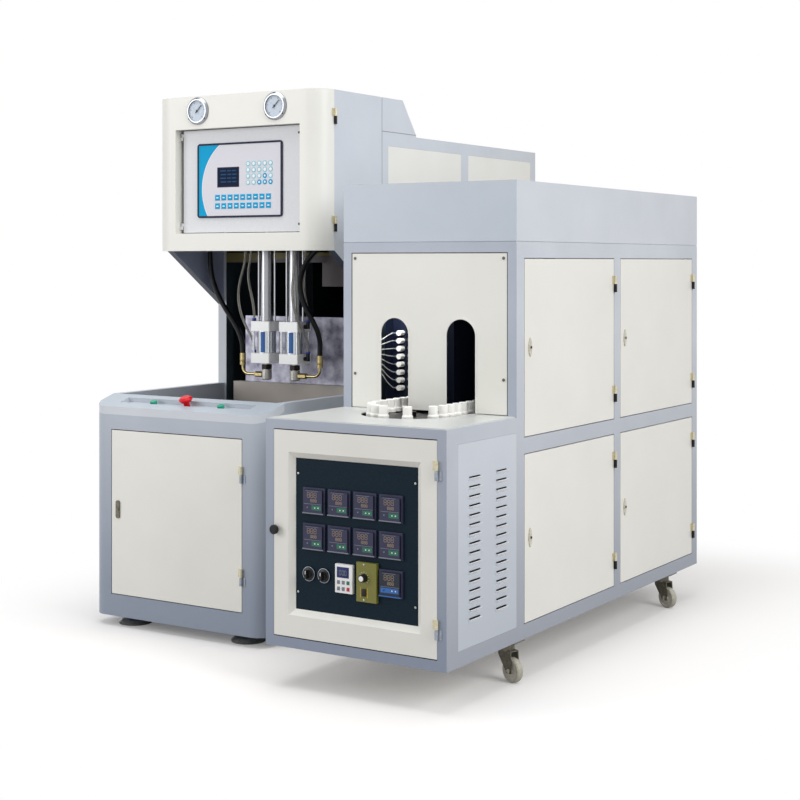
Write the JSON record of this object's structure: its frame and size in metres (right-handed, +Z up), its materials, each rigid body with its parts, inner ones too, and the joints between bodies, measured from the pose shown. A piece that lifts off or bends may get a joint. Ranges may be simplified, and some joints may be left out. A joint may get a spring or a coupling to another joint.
{
  "type": "blow moulding machine",
  "caption": "Semi-automatic bottle blow moulding machine: a clamping and blowing station with a control head, beside a wheeled infrared preform heater.",
  "frame": {"origin": "on the floor, in the middle of the rectangle that the whole machine covers in plan", "axes": "+Z up, +Y from the front (console and heater control door) to the back, +X to the right as seen from the front, towards the heater"},
  "size_m": [1.6942, 2.313, 1.907],
  "materials": {
    "aluminium": "satin",
    "beam_yellow": "satin",
    "bright_steel": "brushed",
    "button_green": "gloss",
    "ceramic": "glazed white",
    "chain_steel": "oiled",
    "chrome": "polished",
    "cream": "satin powder coat",
    "fitting_black": "matt",
    "foot_rubber": "matt",
    "gauge": "gloss",
    "heater_grey": "satin powder coat",
    "hinge_steel": "plain",
    "holder_white": "satin acetal",
    "hose_black": "satin",
    "inner_grey": "brushed",
    "keypad": "satin membrane",
    "knob_black": "gloss",
    "meter_black": "matt",
    "oven_navy": "satin heat-proof enamel",
    "panel_navy": "satin",
    "platen_steel": "satin",
    "station_grey": "satin powder coat",
    "steel": "machined",
    "stop_red": "gloss",
    "table_grey": "satin powder coat",
    "tube_clear": "glossy, translucent",
    "wheel_nylon": "satin nylon",
    "zinc": "zinc plated"
  },
  "bodies": {
    "machine": {"base_shell": "station_grey", "console": "station_grey", "levelling_feet": "foot_rubber", "rear_frame": "station_grey", "rear_panels": "cream", "head_side_plates": "station_grey", "head_hood": "station_grey", "head_beams": "beam_yellow", "blow_columns": "chrome", "cylinder_caps": "aluminium", "cylinder_barrels": "aluminium", "tube_fittings": "fitting_black", "black_hose_left": "hose_black", "black_hose_right": "hose_black", "clear_tubes": "tube_clear", "clamp_frame": "platen_steel", "clamp_cylinder": "platen_steel", "heater_frame": "heater_grey", "heater_hood": "heater_grey", "heater_front_panel": "cream", "heater_table": "table_grey", "heater_panels": "cream", "louvre_panel": "heater_grey", "conveyor_chain": "chain_steel", "preform_holders": "holder_white", "oven_lamps": "ceramic", "oven_plates": "oven_navy", "door_hinges": "hinge_steel"},
    "base_door": {"base_door": "cream"},
    "base_latch": {"base_latch": "bright_steel"},
    "head_cover": {"head_cover": "cream", "pressure_gauges": "gauge"},
    "inner_panel": {"inner_panel": "inner_grey", "keypad": "keypad"},
    "heater_door": {"heater_door": "cream", "control_panel": "panel_navy", "panel_instruments": "meter_black"},
    "heater_door_knob": {"heater_door_knob": "knob_black"},
    "switch_left": {"switch_left": "knob_black"},
    "switch_right": {"switch_right": "knob_black"},
    "speed_knob": {"speed_knob": "knob_black"},
    "nozzle_left": {"nozzle_left": "steel"},
    "nozzle_right": {"nozzle_right": "steel"},
    "stretch_rods": {"stretch_rods": "steel"},
    "moving_platen": {"moving_platen": "platen_steel"},
    "start_button_left": {"start_button_left": "button_green"},
    "start_button_right": {"start_button_right": "button_green"},
    "emergency_stop": {"emergency_stop": "stop_red"},
    "side_door_lower_front": {"side_door_lower_front": "cream"},
    "side_door_lower_rear": {"side_door_lower_rear": "cream"},
    "side_door_upper_front": {"side_door_upper_front": "cream"},
    "side_door_upper_rear": {"side_door_upper_rear": "cream"},
    "caster_fork_left_front": {"caster_fork_left_front": "zinc"},
    "caster_wheel_left_front": {"caster_wheel_left_front": "wheel_nylon"},
    "caster_fork_left_rear": {"caster_fork_left_rear": "zinc"},
    "caster_wheel_left_rear": {"caster_wheel_left_rear": "wheel_nylon"},
    "caster_fork_right_front": {"caster_fork_right_front": "zinc"},
    "caster_wheel_right_front": {"caster_wheel_right_front": "wheel_nylon"},
    "caster_fork_right_rear": {"caster_fork_right_rear": "zinc"},
    "caster_wheel_right_rear": {"caster_wheel_right_rear": "wheel_nylon"}
  },
  "joints": [
    {"name": "base_door_hinge", "type": "hinge", "parent": "machine", "child": "base_door", "pos_m": [-0.1676, -0.8103, 0.116], "axis": [0, 0, 1], "range_deg": [0, 110]},
    {"name": "base_latch_turn", "type": "hinge", "parent": "base_door", "child": "base_latch", "pos_m": [-0.7221, -0.8045, 0.4165], "axis": [0, 1, 0], "range_deg": [0, 90]},
    {"name": "head_cover_hinge", "type": "hinge", "parent": "machine", "child": "head_cover", "pos_m": [-0.0683, -0.3938, 1.335], "axis": [0, 0, 1], "range_deg": [0, 95]},
    {"name": "inner_panel_hinge", "type": "hinge", "parent": "head_cover", "child": "inner_panel", "pos_m": [-0.7331, -0.4425, 1.4], "axis": [0, 0, -1], "range_deg": [0, 90]},
    {"name": "heater_door_hinge", "type": "hinge", "parent": "machine", "child": "heater_door", "pos_m": [0.7954, -1.1423, 0.16], "axis": [0, 0, 1], "range_deg": [0, 120]},
    {"name": "heater_door_knob_turn", "type": "hinge", "parent": "heater_door", "child": "heater_door_knob", "pos_m": [0.2249, -1.1365, 0.4815], "axis": [0, 1, 0], "range_deg": [0, 90]},
    {"name": "switch_left_turn", "type": "hinge", "parent": "heater_door", "child": "switch_left", "pos_m": [0.3374, -1.1365, 0.3545], "axis": [0, 1, 0], "range_deg": [-45, 45]},
    {"name": "switch_right_turn", "type": "hinge", "parent": "heater_door", "child": "switch_right", "pos_m": [0.3924, -1.1365, 0.3545], "axis": [0, 1, 0], "range_deg": [-45, 45]},
    {"name": "speed_knob_turn", "type": "hinge", "parent": "heater_door", "child": "speed_knob", "pos_m": [0.5424, -1.1365, 0.3655], "axis": [0, 1, 0], "range_deg": [0, 270]},
    {"name": "nozzle_left_slide", "type": "slide", "parent": "machine", "child": "nozzle_left", "axis": [0, 0, -1], "range_m": [0, 0.06]},
    {"name": "nozzle_right_slide", "type": "slide", "parent": "machine", "child": "nozzle_right", "axis": [0, 0, -1], "range_m": [0, 0.06]},
    {"name": "stretch_slide", "type": "slide", "parent": "machine", "child": "stretch_rods", "axis": [0, 0, -1], "range_m": [0, 0.205]},
    {"name": "clamp_slide", "type": "slide", "parent": "machine", "child": "moving_platen", "axis": [0, 1, 0], "range_m": [0, 0.15]},
    {"name": "start_button_left_press", "type": "slide", "parent": "machine", "child": "start_button_left", "axis": [0, 0.2959, -0.9552], "range_m": [0, 0.003], "stiffness_N_per_m": 400},
    {"name": "start_button_right_press", "type": "slide", "parent": "machine", "child": "start_button_right", "axis": [0, 0.2959, -0.9552], "range_m": [0, 0.003], "stiffness_N_per_m": 400},
    {"name": "emergency_stop_press", "type": "slide", "parent": "machine", "child": "emergency_stop", "axis": [0, 0.2959, -0.9552], "range_m": [0, 0.004], "stiffness_N_per_m": 800},
    {"name": "side_door_lower_front_hinge", "type": "hinge", "parent": "machine", "child": "side_door_lower_front", "pos_m": [0.8317, 0.003, 0.172], "axis": [0, 0, 1], "range_deg": [0, 100]},
    {"name": "side_door_lower_rear_hinge", "type": "hinge", "parent": "machine", "child": "side_door_lower_rear", "pos_m": [0.8317, 0.721, 0.172], "axis": [0, 0, 1], "range_deg": [0, 100]},
    {"name": "side_door_upper_front_hinge", "type": "hinge", "parent": "machine", "child": "side_door_upper_front", "pos_m": [0.8317, 0.003, 0.75], "axis": [0, 0, 1], "range_deg": [0, 100]},
    {"name": "side_door_upper_rear_hinge", "type": "hinge", "parent": "machine", "child": "side_door_upper_rear", "pos_m": [0.8317, 0.721, 0.75], "axis": [0, 0, 1], "range_deg": [0, 100]},
    {"name": "caster_swivel_left_front", "type": "hinge", "parent": "machine", "child": "caster_fork_left_front", "pos_m": [0.2289, -0.6955, 0.105], "axis": [0, 0, 1], "continuous": true},
    {"name": "caster_roll_left_front", "type": "hinge", "parent": "caster_fork_left_front", "child": "caster_wheel_left_front", "pos_m": [0.25681, -0.70649, 0.038], "axis": [0.3665, 0.9304, 0], "continuous": true},
    {"name": "caster_swivel_left_rear", "type": "hinge", "parent": "machine", "child": "caster_fork_left_rear", "pos_m": [0.2289, 0.5335, 0.105], "axis": [0, 0, 1], "continuous": true},
    {"name": "caster_roll_left_rear", "type": "hinge", "parent": "caster_fork_left_rear", "child": "caster_wheel_left_rear", "pos_m": [0.25681, 0.5225, 0.038], "axis": [0.3665, 0.9304, 0], "continuous": true},
    {"name": "caster_swivel_right_front", "type": "hinge", "parent": "machine", "child": "caster_fork_right_front", "pos_m": [0.7809, -0.6955, 0.105], "axis": [0, 0, 1], "continuous": true},
    {"name": "caster_roll_right_front", "type": "hinge", "parent": "caster_fork_right_front", "child": "caster_wheel_right_front", "pos_m": [0.80881, -0.70649, 0.038], "axis": [0.3665, 0.9304, 0], "continuous": true},
    {"name": "caster_swivel_right_rear", "type": "hinge", "parent": "machine", "child": "caster_fork_right_rear", "pos_m": [0.7809, 0.5335, 0.105], "axis": [0, 0, 1], "continuous": true},
    {"name": "caster_roll_right_rear", "type": "hinge", "parent": "caster_fork_right_rear", "child": "caster_wheel_right_rear", "pos_m": [0.80881, 0.5225, 0.038], "axis": [0.3665, 0.9304, 0], "continuous": true}
  ],
  "couplings": [
    {"joint": "nozzle_right_slide", "follows": "nozzle_left_slide", "ratio": 1}
  ]
}
